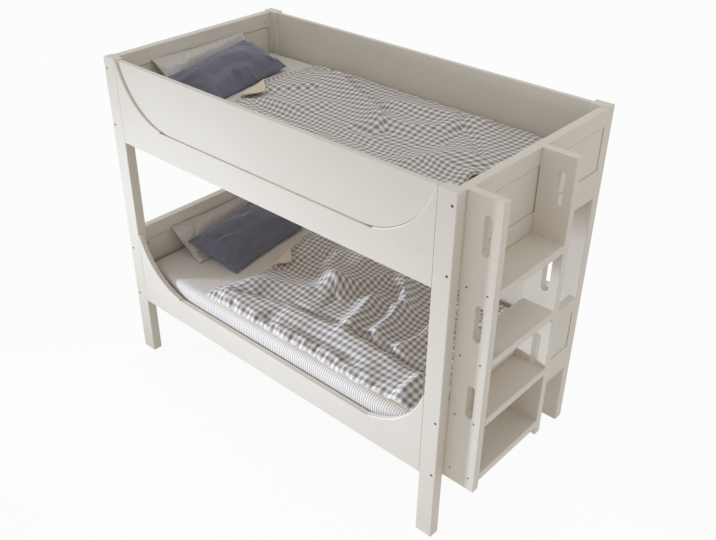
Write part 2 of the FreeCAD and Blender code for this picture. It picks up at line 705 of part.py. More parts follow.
# Ladder: two boards with hand slots, and treads between them
def ladder_side(near):
    low_y = LADDER_NEAR_Y if near else LADDER_FAR_Y - SIDE_THICK
    outer = END_X + LADDER_DEPTH
    board = box(END_X, outer, low_y, low_y + SIDE_THICK, LOWER_Z, UPPER_Z + FRAME_HEIGHT)
    board = eased(board, BOARD_EDGE, V(0, 0, 1))
    radius = SLOT_WIDTH / 2
    slots = []
    for z in SLOT_HEIGHTS:
        x = END_X + SLOT_FROM_BED
        straight = SLOT_LENGTH / 2 - radius
        middle = box(x - radius, x + radius, low_y, low_y + SIDE_THICK, z - straight, z + straight)
        for level in (z - straight, z + straight):
            middle = middle.fuse(rod(radius, V(x, low_y, level), V(x, low_y + SIDE_THICK, level)))
        slots.append(middle.removeSplitter())
    board = drilled(board, slots)
    rims = [e for e in board.Edges if on_slot_rim(e, low_y)]
    board = board.makeFillet(BOARD_EDGE, rims)
    return drilled(board, touching(TREAD_HOLES + LADDER_HOLES, board))


def on_slot_rim(edge, low_y):
    """True for the edges where a hand slot meets one of the board's two faces."""
    at = edge.CenterOfMass
    on_face = min(abs(at.y - low_y), abs(at.y - low_y - SIDE_THICK)) < 0.01
    near_slot = any(abs(at.z - z) < SLOT_LENGTH * 0.51 for z in SLOT_HEIGHTS)
    return on_face and near_slot and abs(at.x - END_X - SLOT_FROM_BED) < SLOT_WIDTH * 0.51


def ladder_tread(z):
    back = END_X + TREAD_BACK_ROOM
    tread = box(back, END_X + LADDER_DEPTH, LADDER_NEAR_Y + SIDE_THICK, LADDER_FAR_Y - SIDE_THICK,
                z - TREAD_THICK / 2, z + TREAD_THICK / 2)
    tread = eased(tread, BOARD_EDGE, V(0, 1, 0))
    return drilled(tread, touching(TREAD_HOLES, tread))


os.makedirs("parts", exist_ok=True)

for side_name, side in (("front", -1), ("back", 1)):
    for end_name, end in (("left", -1), ("right", 1)):
        save("post_%s_%s" % (side_name, end_name), post(end, side))

for bunk, bunk_z in BUNKS.items():
    for end_name, end in ENDS.items():
        end_frame("%s_%s" % (bunk, end_name), end, bunk_z)
    save(bunk + "_front_rail", front_rail(bunk_z))
    save(bunk + "_bracket_left", bracket(-1, bunk_z))
    save(bunk + "_bracket_right", bracket(1, bunk_z))
    save(bunk + "_back_board", back_board(bunk_z))
    save(bunk + "_slat_cleats", *cleats(bunk_z))
    save(bunk + "_slats", *slats(bunk_z))
    save(bunk + "_slat_tapes", *slat_tapes(bunk_z))
    save(bunk + "_mattress", mattress(bunk_z))
save("upper_guard_board", guard_board())

save("lower_grey_pillow", grey_pillow(LOWER_Z, LOWER_GREY_PILLOW_FOOT))
save("upper_grey_pillow", grey_pillow(UPPER_Z, UPPER_GREY_PILLOW_FOOT))
save("lower_blue_pillow", blue_pillow(LOWER_Z, LOWER_BLUE_PILLOW_FOOT, LOWER_GREY_PILLOW_FOOT))
save("upper_blue_pillow", blue_pillow(UPPER_Z, UPPER_BLUE_PILLOW_FOOT, UPPER_GREY_PILLOW_FOOT))
save("lower_quilt", quilt(LOWER_Z, LOWER_QUILT_HEAD))
save("upper_quilt", quilt(UPPER_Z, UPPER_QUILT_HEAD))

save("ladder_side_near", ladder_side(True))
save("ladder_side_far", ladder_side(False))
for number, tread_z in enumerate(TREAD_HEIGHTS, 1):
    save("ladder_tread_%d" % number, ladder_tread(tread_z))

save("post_bolts", *[post_bolt(start, end) for start, end, nut in BOLT_LINES])
save("barrel_nuts", *[barrel_nut(nut) for start, end, nut in BOLT_LINES])
save("cam_discs", *[cam_disc(place) for place in CAM_PLACES])
save("cam_bolts", *[cam_bolt(place) for place in CAM_PLACES])
save("bracket_dowels", *bracket_dowels())
save("guard_screws", *[screw(*line) for line in GUARD_LINES])
save("cleat_screws", *[screw(*line) for line in CLEAT_LINES])
save("tread_screws", *[screw(*line) for line in TREAD_LINES])
save("ladder_screws", *[screw(*line) for line in LADDER_LINES])
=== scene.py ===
import math

import bmesh
import bpy
from mathutils import Matrix, Vector, noise
from mathutils.bvhtree import BVHTree


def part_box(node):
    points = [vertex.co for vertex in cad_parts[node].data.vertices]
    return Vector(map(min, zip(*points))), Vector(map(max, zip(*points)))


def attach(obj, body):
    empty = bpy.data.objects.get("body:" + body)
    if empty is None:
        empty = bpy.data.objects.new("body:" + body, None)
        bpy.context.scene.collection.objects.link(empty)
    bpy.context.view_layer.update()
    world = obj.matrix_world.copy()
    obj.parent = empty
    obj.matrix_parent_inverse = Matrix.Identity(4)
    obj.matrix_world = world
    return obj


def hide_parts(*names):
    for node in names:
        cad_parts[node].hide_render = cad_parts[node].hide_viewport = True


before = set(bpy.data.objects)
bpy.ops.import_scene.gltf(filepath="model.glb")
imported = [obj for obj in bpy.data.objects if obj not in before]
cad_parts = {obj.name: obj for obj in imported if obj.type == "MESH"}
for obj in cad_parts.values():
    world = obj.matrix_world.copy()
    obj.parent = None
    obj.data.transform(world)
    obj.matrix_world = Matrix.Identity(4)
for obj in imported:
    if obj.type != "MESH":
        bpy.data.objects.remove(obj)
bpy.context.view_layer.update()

scene = bpy.context.scene

# Painted joinery: posts, end frames, rails, arched brackets, boards and the ladder. Solid wood and
# MDF, sprayed with a warm off-white satin lacquer, then bolted and screwed together.


def linear(code):
    """An sRGB hex colour as the linear RGBA that a shader takes."""
    parts = [int(code[i:i + 2], 16) / 255 for i in (1, 3, 5)]
    return [c / 12.92 if c <= 0.04045 else ((c + 0.055) / 1.055) ** 2.4 for c in parts] + [1.0]


def add(tree, kind, inputs=None, **settings):
    """Add one shader node, set its properties, and fill or link its inputs."""
    made = tree.nodes.new(kind)
    for key, value in settings.items():
        setattr(made, key, value)
    for key, value in (inputs or {}).items():
        if isinstance(value, bpy.types.NodeSocket):
            tree.links.new(value, made.inputs[key])
        else:
            made.inputs[key].default_value = value
    return made


def finish_named(name):
    """A new material with an empty tree, and its tree, Object coordinates and output node."""
    material = bpy.data.materials.new(name)
    material.use_nodes = True
    tree = material.node_tree
    tree.nodes.clear()
    place = add(tree, "ShaderNodeTexCoord").outputs["Object"]
    return material, tree, place, add(tree, "ShaderNodeOutputMaterial")


# Satin lacquer on sanded board: an even pale coat, with the faint orange peel of a spray gun about
# 4 mm across and slow changes of tone from board to board.
board_tone = 0.35
spray_peel = 0.004
satin_lacquer, tree, place, out = finish_named("satin_lacquer")
tone = add(tree, "ShaderNodeTexNoise", {"Vector": place, "Scale": 1 / board_tone, "Detail": 2.0})
colour = add(tree, "ShaderNodeMix", {"Factor": tone.outputs["Fac"], "A": linear("#DBD4C9"),
                                     "B": linear("#D6CEC1")}, data_type="RGBA")
peel = add(tree, "ShaderNodeTexNoise", {"Vector": place, "Scale": 1 / spray_peel, "Detail": 3.0})
relief = add(tree, "ShaderNodeBump", {"Height": peel.outputs["Fac"], "Strength": 0.05, "Distance": 0.0004})
gloss = add(tree, "ShaderNodeMapRange", {"Value": peel.outputs["Fac"], "To Min": 0.40, "To Max": 0.52})
lacquer = add(tree, "ShaderNodeBsdfPrincipled", {
    "Base Color": colour.outputs["Result"], "Roughness": gloss.outputs["Result"],
    "IOR": 1.46, "Normal": relief.outputs["Normal"]})
tree.links.new(lacquer.outputs["BSDF"], out.inputs["Surface"])


def dress(names, material):
    """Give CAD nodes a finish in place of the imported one."""
    for name in names:
        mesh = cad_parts[name].data
        mesh.materials.clear()
        mesh.materials.append(material)


bunks = ("lower", "upper")
end_pieces = ("top_rail", "bottom_rail", "stiles", "panel")
side_pieces = ("front_rail", "bracket_left", "bracket_right", "back_board")
painted = ["post_%s_%s" % (side, end) for side in ("front", "back") for end in ("left", "right")]
for bunk in bunks:
    for end in ("head", "foot"):
        painted += ["%s_%s_%s" % (bunk, end, piece) for piece in end_pieces]
    painted += ["%s_%s" % (bunk, piece) for piece in side_pieces]
painted += ["upper_guard_board", "ladder_side_near", "ladder_side_far"]
painted += ["ladder_tread_%d" % number for number in range(1, 5)]
dress(painted, satin_lacquer)

# Slatted bases: planed pine slats, and pine cleats screwed to the rail and the back board. Beech
# dowels under the brackets take the same finish. Two cotton tapes hold the slats at their spacing.

# Planed pine: straw-coloured, with growth rings about 6 mm apart, drawn out along the slats.
ring_width = 0.006
ring_stretch = 0.06
planed_pine, tree, place, out = finish_named("planed_pine")
stretch = add(tree, "ShaderNodeMapping", {"Vector": place, "Scale": (1.0, ring_stretch, 1.0)})
rings = add(tree, "ShaderNodeTexNoise", {"Vector": stretch.outputs["Vector"], "Scale": 1 / ring_width,
                                         "Detail": 4.0, "Distortion": 0.6})
colour = add(tree, "ShaderNodeMix", {"Factor": rings.outputs["Fac"], "A": linear("#E3C79C"),
                                     "B": linear("#C79E68")}, data_type="RGBA")
relief = add(tree, "ShaderNodeBump", {"Height": rings.outputs["Fac"], "Strength": 0.15, "Distance": 0.0005})
pine = add(tree, "ShaderNodeBsdfPrincipled", {"Base Color": colour.outputs["Result"], "Roughness": 0.6,
                                              "Normal": relief.outputs["Normal"]})
tree.links.new(pine.outputs["BSDF"], out.inputs["Surface"])
dress([bunk + piece for bunk in bunks for piece in ("_slats", "_slat_cleats")], planed_pine)
dress(["bracket_dowels"], planed_pine)

# Herringbone cotton tape, 22 mm wide, with 2 mm ribs across it. The wave texture repeats every
# 0.314 m at a scale of 1.
tape_rib = 0.002
wave_repeat = 0.314
cotton_tape, tree, place, out = finish_named("cotton_tape")
ribs = add(tree, "ShaderNodeTexWave", {"Vector": place, "Scale": wave_repeat / tape_rib}, bands_direction="X")
colour = add(tree, "ShaderNodeMix", {"Factor": ribs.outputs["Fac"], "A": linear("#CFC8B8"),
                                     "B": linear("#E2DCCF")}, data_type="RGBA")
tape = add(tree, "ShaderNodeBsdfPrincipled", {"Base Color": colour.outputs["Result"], "Roughness": 0.9})
tree.links.new(tape.outputs["BSDF"], out.inputs["Surface"])
dress([bunk + "_slat_tapes" for bunk in bunks], cotton_tape)

# Fasteners: zinc-plated bolts, barrel nuts, cams and screws. The bolt and screw heads are set flush
# in the paint, where their drive sockets show as small dark dots.

# Zinc-plated steel: a dull grey metal, clouded by the plating in patches about 3 mm across.
plate_cloud = 0.003
zinc_plate, tree, place, out = finish_named("zinc_plated_steel")
stain = add(tree, "ShaderNodeTexNoise", {"Vector": place, "Scale": 1 / plate_cloud, "Detail": 3.0})
colour = add(tree, "ShaderNodeMix", {"Factor": stain.outputs["Fac"], "A": linear("#6A6762"),
                                     "B": linear("#8A8781")}, data_type="RGBA")
rough = add(tree, "ShaderNodeMapRange", {"Value": stain.outputs["Fac"], "To Min": 0.35, "To Max": 0.55})
zinc = add(tree, "ShaderNodeBsdfPrincipled", {"Base Color": colour.outputs["Result"], "Metallic": 1.0,
                                              "Roughness": rough.outputs["Result"]})
tree.links.new(zinc.outputs["BSDF"], out.inputs["Surface"])
dress(["post_bolts", "barrel_nuts", "cam_discs", "cam_bolts", "guard_screws", "cleat_screws", "tread_screws",
       "ladder_screws"], zinc_plate)

# Mattresses: foam blocks in fitted cotton sheets, white with a fine grey pinstripe across the bed.
# The sheet is drawn tight over the shoulders and under the foam by an elastic hem.


def cloth_piece(name, shape, *finishes):
    """Turn a bmesh into a smooth-shaded object with its finishes in order."""
    mesh = bpy.data.meshes.new(name)
    shape.to_mesh(mesh)
    shape.free()
    for finish in finishes:
        mesh.materials.append(finish)
    for face in mesh.polygons:
        face.use_smooth = True
    piece = bpy.data.objects.new(name, mesh)
    scene.collection.objects.link(piece)
    return piece


def swell(piece, pressure, frames, cap, grow, held, keep=None):
    """Blow a closed cover up as cloth. Points move no further than cap, and keep may give shares of it."""
    start = [v.co.copy() for v in piece.data.vertices]
    cloth = piece.modifiers.new("swell", "CLOTH")
    setting = cloth.settings
    setting.quality = 6
    setting.mass = 0.25
    setting.tension_stiffness = setting.compression_stiffness = 12
    setting.shear_stiffness = 6
    setting.bending_stiffness = 0.3
    setting.use_pressure = True
    setting.uniform_pressure_force = pressure
    setting.effector_weights.gravity = 0
    setting.shrink_min = -grow
    setting.vertex_group_mass = held
    cloth.collision_settings.use_collision = False
    cloth.point_cache.frame_end = frames
    for number in range(1, frames + 1):
        scene.frame_set(number)
    shaped = piece.evaluated_get(bpy.context.evaluated_depsgraph_get())
    moved = [v.co.copy() for v in shaped.data.vertices]
    piece.modifiers.remove(cloth)
    scene.frame_set(1)
    for vertex, before, after in zip(piece.data.vertices, start, moved):
        step = after - before
        share = keep[vertex.index] if keep else 1.0
        vertex.co = before + step * share * min(1.0, cap / max(step.length, 1e-9))


def soften(piece):
    """One level of subdivision to finish a piece of cloth."""
    rounding = piece.modifiers.new("soft", "SUBSURF")
    rounding.levels = rounding.render_levels = 1


# Percale sheet: smooth white cotton with woven pinstripes 12.5 mm apart, which run across the bed
# and down its sides. The weave itself is too fine to show, so it is drawn 3 mm wide.
stripe_pitch = 0.0125
stripe_core = 0.13
stripe_fade = 0.23
drawn_weave = 0.003
percale_stripe, tree, place, out = finish_named("percale_pinstripe")
axes = add(tree, "ShaderNodeSeparateXYZ", {"Vector": place})
count = add(tree, "ShaderNodeMath", {0: axes.outputs["X"], 1: 1 / stripe_pitch}, operation="MULTIPLY")
wave = add(tree, "ShaderNodeMath", {0: count.outputs["Value"], 1: 0.5}, operation="PINGPONG")
line = add(tree, "ShaderNodeMapRange", {"Value": wave.outputs["Value"], "From Min": stripe_core,
                                        "From Max": stripe_fade, "To Min": 1.0, "To Max": 0.0})
colour = add(tree, "ShaderNodeMix", {"Factor": line.outputs["Result"], "A": linear("#E6E0D9"),
                                     "B": linear("#B0AAA5")}, data_type="RGBA")
weave = add(tree, "ShaderNodeTexNoise", {"Vector": place, "Scale": 1 / drawn_weave, "Detail": 2.0})
relief = add(tree, "ShaderNodeBump", {"Height": weave.outputs["Fac"], "Strength": 0.2, "Distance": 0.0006})
percale = add(tree, "ShaderNodeBsdfPrincipled", {"Base Color": colour.outputs["Result"], "Roughness": 0.85,
                                                 "Sheen Weight": 0.15, "Normal": relief.outputs["Normal"]})
tree.links.new(percale.outputs["BSDF"], out.inputs["Surface"])

sheet_tuck = 0.002
mattress_shoulder = 0.034
mattress_cell = 0.03
cut_margin = 1.3
side_cuts = (-0.25, -0.05, 0.15)
mattress_bulge = {"lower": 0.021, "upper": 0.010}
bulge_ends = 2.2
bulge_square = 8
bulge_side = 4
# Ripples per metre, the level of the noise field they are read from, and the band they fill
ripples = 14
ripple_level = 3
ripple_band = 0.09
ripple_out = 0.0015
ripple_down = 0.002
for bunk in bunks:
    low, high = (Vector(corner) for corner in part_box(bunk + "_mattress"))
    size = high - low - Vector((sheet_tuck, sheet_tuck, sheet_tuck)) * 2
    middle = (low + high) / 2
    block = bmesh.new()
    bmesh.ops.create_cube(block, size=1.0)
    bmesh.ops.scale(block, vec=size, verts=block.verts)
    top = [e for e in block.edges if all(v.co.z > 0 for v in e.verts)]
    upright = [e for e in block.edges if abs(e.verts[0].co.z - e.verts[1].co.z) > 0.01]
    bmesh.ops.bevel(block, geom=top + upright, offset=mattress_shoulder, offset_type="OFFSET", segments=5,
                    profile=0.5, affect="EDGES", material=-1)
    for axis, length in ((0, size.x), (1, size.y)):
        steps = int(length / mattress_cell)
        for k in range(1, steps):
            normal = Vector((axis == 0, axis == 1, 0))
            cut = normal * (length * (k / steps - 0.5))
            if abs(cut[axis]) < length / 2 - mattress_shoulder * cut_margin:
                bmesh.ops.bisect_plane(block, geom=block.verts[:] + block.edges[:] + block.faces[:],
                                       plane_co=cut, plane_no=normal)
    for level in side_cuts:
        bmesh.ops.bisect_plane(block, geom=block.verts[:] + block.edges[:] + block.faces[:],
                               plane_co=(0, 0, size.z * level), plane_no=(0, 0, 1))
    # Foam gives a little: the long sides bulge between the posts, and the sheet ripples at the shoulders
    for vertex in block.verts:
        at = vertex.co
        bulge = mattress_bulge[bunk] * max(0.0, 1 - (bulge_ends * at.x / size.x) ** bulge_square)
        at.y += math.copysign(bulge, at.y) * min(1, abs(at.y) / (size.y / 2)) ** bulge_side
        ripple = noise.noise((at.x * ripples, at.y * ripples, at.z * ripples + ripple_level))
        edge = max(0.0, abs(at.y) - size.y / 2 + ripple_band) / ripple_band
        at.y += math.copysign(ripple_out * ripple * edge, at.y)
        if at.z > 0:
            at.z -= ripple_down * abs(ripple) * edge
    bmesh.ops.translate(block, vec=middle, verts=block.verts)
    mattress = cloth_piece(bunk + "_mattress_sheet", block, percale_stripe)
    soften(mattress)
    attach(mattress, bunk + "_mattress_body")
    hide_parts(bunk + "_mattress")

# Pillows: two panels of cloth sewn round the edge and stuffed, so that they crown in the middle and
# pucker along the seam. The grey one leans on the headboard and the blue one lies over it.
fold_crest = 1.7
pillow_width = 0.60
pillow_cell = 0.009
pillow_gap = 0.002
seam_half = 0.002
side_draw = 0.035
end_draw = 0.060
crown_power = 0.6
seam_calm = 12


def fold_height(folds, x, y):
    """Height that folds add at a place. Each is a rise, its widths left and right of a line, and the line."""
    total = 0.0
    for rise, left, right, path in folds:
        nearest, side = 1e9, 1.0
        for (ax, ay), (bx, by) in zip(path, path[1:]):
            run = Vector((bx - ax, by - ay))
            out = Vector((x - ax, y - ay))
            share = max(0.0, min(1.0, out.dot(run) / run.length_squared))
            off = (out - run * share).length
            if off < nearest:
                nearest, side = off, run.x * out.y - run.y * out.x
        total += rise * math.exp(-(nearest / (left if side > 0 else right)) ** fold_crest)
    return total


def stuffed_bag(width, length, crown, belly, wrinkles):
    """A sewn bag on a grid, foot edge at -Y and head edge at +Y, and the points that stay put."""
    bag = bmesh.new()
    bmesh.ops.create_grid(bag, x_segments=round(width / pillow_cell),
                          y_segments=round(length / pillow_cell), size=0.5)
    back = bmesh.ops.extrude_face_region(bag, geom=bag.faces[:], use_keep_orig=True)
    back_verts = [g for g in back["geom"] if isinstance(g, bmesh.types.BMVert)]
    bmesh.ops.translate(bag, vec=(0, 0, -1), verts=back_verts)
    held = []
    bag.verts.index_update()
    for vertex in bag.verts:
        at = vertex.co
        upper = at.z > -0.5
        mid_x = 1 - (2 * at.x) ** 2
        mid_y = 1 - (2 * at.y) ** 2
        puff = max(0.0, mid_x * mid_y)
        if puff < 0.001 or not upper:
            held.append(vertex.index)
        at.x *= width * (1 - side_draw * mid_y)
        at.y *= length * (1 - end_draw * mid_x)
        ruffle = fold_height(wrinkles, at.x, at.y) * min(1.0, puff * seam_calm)
        if upper:
            at.z = seam_half + crown * puff ** crown_power + ruffle
        else:
            at.z = -seam_half - belly * puff ** crown_power
    bmesh.ops.recalc_face_normals(bag, faces=bag.faces)
    return bag, held


def lean(piece, foot, run, rise, bend, yaw, across):
    """Lay the bag up a slope from a foot in X and Z. It steepens on the way up where bend is over 1."""
    half = -min(v.co.y for v in piece.data.vertices)
    turn = Matrix.Rotation(yaw, 3, "Z")
    for vertex in piece.data.vertices:
        flat = turn @ Vector((vertex.co.x, vertex.co.y, 0))
        share = (flat.y + half) / (2 * half)
        up = max(share, 0.0)
        slope = math.atan2(rise * bend * up ** (bend - 1), run)
        vertex.co = (foot[0] - run * share + vertex.co.z * math.sin(slope),
                     across + flat.x,
                     foot[1] + rise * up ** bend + vertex.co.z * math.cos(slope))


def keep_clear(piece, other, gap, reach, way):
    """Move points straight up (way 1) or down (way -1) until they clear what lies within reach of them."""
    corners = [v.co for v in other.data.vertices]
    skin = BVHTree.FromPolygons(corners, [f.vertices for f in other.data.polygons])
    for vertex in piece.data.vertices:
        for dx, dy in ((0, 0), (reach, 0), (-reach, 0), (0, reach), (0, -reach)):
            hit = skin.ray_cast(vertex.co + Vector((dx, dy, way)), Vector((0, 0, -way)))[0]
            if hit and (vertex.co.z - hit.z) * way < gap:
                vertex.co.z = hit.z + gap * way


# Linen-look weave: light grey and dry, with slubs 2.5 mm wide and four times as long. Real threads
# are finer than the render shows, so they are drawn this coarse.
slub_width = 0.0025
slub_stretch = 0.25
grey_linen, tree, place, out = finish_named("grey_linen_weave")
slub = add(tree, "ShaderNodeMapping", {"Vector": place, "Scale": (1.0, slub_stretch, 1.0)})
threads = add(tree, "ShaderNodeTexNoise", {"Vector": slub.outputs["Vector"], "Scale": 1 / slub_width,
                                           "Detail": 3.0})
colour = add(tree, "ShaderNodeMix", {"Factor": threads.outputs["Fac"], "A": linear("#CFCAC4"),
                                     "B": linear("#B9B3AC")}, data_type="RGBA")
relief = add(tree, "ShaderNodeBump", {"Height": threads.outputs["Fac"], "Strength": 0.3, "Distance": 0.0008})
linen = add(tree, "ShaderNodeBsdfPrincipled", {"Base Color": colour.outputs["Result"], "Roughness": 0.92,
                                               "Sheen Weight": 0.2, "Normal": relief.outputs["Normal"]})
tree.links.new(linen.outputs["BSDF"], out.inputs["Surface"])

grey_crown = 0.030
grey_belly = 0.004
grey_run = 0.232
grey_bend = {"lower": 1.8, "upper": 1.3}
grey_across = -0.01
# The head edge of the blue pillow presses a long dent into the grey one
grey_wrinkles = {
    "lower": [
        (-0.024, 0.028, 0.060, [(-0.32, 0.005), (0.32, 0.105)]),
        (0.005, 0.012, 0.020, [(-0.29, 0.09), (-0.20, 0.08)]),
    ],
    "upper": [
        (-0.022, 0.028, 0.060, [(-0.32, -0.025), (0.32, 0.095)]),
        (0.005, 0.012, 0.020, [(-0.29, 0.07), (-0.20, 0.06)]),
    ],
}
for bunk in bunks:
    low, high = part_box(bunk + "_grey_pillow")
    rise = high[2] - low[2] - pillow_gap * 3
    length = math.hypot(rise, grey_run)
    bag, held = stuffed_bag(pillow_width, length, grey_crown, grey_belly, grey_wrinkles[bunk])
    grey = cloth_piece(bunk + "_grey_pillow_cover", bag, grey_linen)
    grey.vertex_groups.new(name="held").add(held, 1.0, "REPLACE")
    swell(grey, pressure=1.0, frames=16, cap=0.012, grow=0.05, held="held")
    foot = (low[0] + pillow_gap + grey_run, low[2] + pillow_gap + grey_belly)
    lean(grey, foot, grey_run, rise, grey_bend[bunk], yaw=0.0, across=grey_across)
    soften(grey)
    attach(grey, bunk + "_grey_pillow_body")
    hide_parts(bunk + "_grey_pillow")

# Cotton velvet: slate blue pile that goes pale where it turns from the eye, with brushed patches
# about 60 mm across. The pile is finer than the render shows, so it is drawn 1.5 mm wide.
brushed_patch = 0.06
drawn_pile = 0.0015
blue_velvet, tree, place, out = finish_named("slate_blue_velvet")
brushed = add(tree, "ShaderNodeTexNoise", {"Vector": place, "Scale": 1 / brushed_patch, "Detail": 4.0})
colour = add(tree, "ShaderNodeMix", {"Factor": brushed.outputs["Fac"], "A": linear("#5C5C6A"),
                                     "B": linear("#747482")}, data_type="RGBA")
pile = add(tree, "ShaderNodeTexNoise", {"Vector": place, "Scale": 1 / drawn_pile, "Detail": 2.0})
relief = add(tree, "ShaderNodeBump", {"Height": pile.outputs["Fac"], "Strength": 0.25, "Distance": 0.0006})
velvet = add(tree, "ShaderNodeBsdfPrincipled", {
    "Base Color": colour.outputs["Result"], "Roughness": 0.75, "Sheen Weight": 0.6, "Sheen Roughness": 0.35,
    "Sheen Tint": linear("#C4C5D2"), "Normal": relief.outputs["Normal"]})
tree.links.new(velvet.outputs["BSDF"], out.inputs["Surface"])

blue_belly = 0.004
# Crown, run and rise of the slope it lies on, turn in degrees, and place across the bed
blue_lie = {"lower": (0.090, 0.350, 0.088, 7.5, 0.03), "upper": (0.070, 0.283, 0.094, 9.0, 0.0)}
blue_wrinkles = {
    "lower": [
        (0.014, 0.010, 0.018, [(-0.29, 0.09), (-0.20, 0.06)]),
        (0.016, 0.010, 0.018, [(-0.29, 0.03), (-0.17, 0.00)]),
        (0.016, 0.010, 0.018, [(-0.28, -0.05), (-0.18, -0.05)]),
        (0.014, 0.012, 0.018, [(-0.27, -0.13), (-0.18, -0.09)]),
        (0.007, 0.012, 0.018, [(-0.14, -0.16), (-0.10, -0.10)]),
        (-0.008, 0.040, 0.040, [(-0.16, 0.02), (0.02, -0.02)]),
    ],
    "upper": [
        (-0.014, 0.025, 0.035, [(-0.16, -0.03), (-0.04, -0.02), (0.09, -0.06)]),
        (0.008, 0.020, 0.030, [(-0.17, 0.02), (-0.04, 0.03), (0.10, 0.00)]),
        (0.008, 0.012, 0.020, [(0.28, -0.11), (0.19, -0.07)]),
        (0.008, 0.012, 0.020, [(0.28, 0.08), (0.20, 0.05)]),
        (0.008, 0.012, 0.018, [(-0.28, 0.06), (-0.20, 0.04)]),
    ],
}
for bunk in bunks:
    low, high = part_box(bunk + "_blue_pillow")
    crown, run, rise, yaw, across = blue_lie[bunk]
    bag, held = stuffed_bag(pillow_width, math.hypot(run, rise), crown, blue_belly, blue_wrinkles[bunk])
    blue = cloth_piece(bunk + "_blue_pillow_cover", bag, blue_velvet)
    blue.vertex_groups.new(name="held").add(held, 1.0, "REPLACE")
    swell(blue, pressure=1.2, frames=16, cap=0.015, grow=0.06, held="held")
    foot = (high[0] - pillow_gap, low[2] + pillow_gap + blue_belly)
    lean(blue, foot, run, rise, bend=1.0, yaw=math.radians(yaw), across=across)
    keep_clear(scene.objects[bunk + "_grey_pillow_cover"], blue, gap=pillow_gap, reach=pillow_cell, way=-1)
    soften(blue)
    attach(blue, bunk + "_blue_pillow_body")
    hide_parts(bunk + "_blue_pillow")

# Quilts: a gingham cotton top and a plain beige lining, filled and sewn round the edge with beige
# piping. Each lies unmade, with long folds, and is turned back at the head so that the lining shows.

# Gingham: squares of 16 mm woven from white and grey, darkest where grey crosses grey. A repeat is
# one square of each. The threads are finer than the render shows, so they are drawn 2 mm wide.
gingham_repeat = 0.032
band_start = 0.235
band_full = 0.265
drawn_thread = 0.002
gingham, tree, _, out = finish_named("gingham_cotton")
cloth = add(tree, "ShaderNodeUVMap", uv_map="cloth").outputs["UV"]
axes = add(tree, "ShaderNodeSeparateXYZ", {"Vector": cloth})
bands = []
for axis in ("X", "Y"):
    count = add(tree, "ShaderNodeMath", {0: axes.outputs[axis], 1: 1 / gingham_repeat}, operation="MULTIPLY")
    wave = add(tree, "ShaderNodeMath", {0: count.outputs["Value"], 1: 0.5}, operation="PINGPONG")
    band = add(tree, "ShaderNodeMapRange", {"Value": wave.outputs["Value"], "From Min": band_start,
                                            "From Max": band_full})
    bands.append(band.outputs["Result"])
grey_threads = add(tree, "ShaderNodeMath", {0: bands[0], 1: bands[1]}, operation="ADD")
grey_share = add(tree, "ShaderNodeMath", {0: grey_threads.outputs["Value"], 1: 0.5}, operation="MULTIPLY")
shades = add(tree, "ShaderNodeValToRGB", {"Fac": grey_share.outputs["Value"]})
shades.color_ramp.elements[0].color = linear("#E4DDD6")
shades.color_ramp.elements[1].color = linear("#86827E")
shades.color_ramp.elements.new(0.5).color = linear("#BCB7B3")
threads = add(tree, "ShaderNodeTexNoise", {"Vector": cloth, "Scale": 1 / drawn_thread, "Detail": 2.0})
relief = add(tree, "ShaderNodeBump", {"Height": threads.outputs["Fac"], "Strength": 0.25, "Distance": 0.0008})
woven = add(tree, "ShaderNodeBsdfPrincipled", {"Base Color": shades.outputs["Color"], "Roughness": 0.9,
                                               "Sheen Weight": 0.15, "Normal": relief.outputs["Normal"]})
tree.links.new(woven.outputs["BSDF"], out.inputs["Surface"])

# Brushed cotton lining and piping: beige, with a soft mottle 5 mm across.
lining_mottle = 0.005
beige_lining, tree, place, out = finish_named("beige_cotton")
mottle = add(tree, "ShaderNodeTexNoise", {"Vector": place, "Scale": 1 / lining_mottle, "Detail": 3.0})
colour = add(tree, "ShaderNodeMix", {"Factor": mottle.outputs["Fac"], "A": linear("#E0D1BE"),
                                     "B": linear("#D2C0A9")}, data_type="RGBA")
relief = add(tree, "ShaderNodeBump", {"Height": mottle.outputs["Fac"], "Strength": 0.2, "Distance": 0.0008})
lining = add(tree, "ShaderNodeBsdfPrincipled", {"Base Color": colour.outputs["Result"], "Roughness": 0.9,
                                                "Sheen Weight": 0.2, "Normal": relief.outputs["Normal"]})
tree.links.new(lining.outputs["BSDF"], out.inputs["Surface"])


def ease(value):
    """Smooth step from 0 to 1."""
    value = min(1.0, max(0.0, value))
    return value * value * (3 - 2 * value)


def between(stops, at):
    """Smooth curve through (place, value) stops."""
    if at <= stops[0][0]:
        return stops[0][1]
    for (a, low), (b, high) in zip(stops, stops[1:]):
        if at <= b:
            return low + (high - low) * ease((at - a) / (b - a))
    return stops[-1][1]


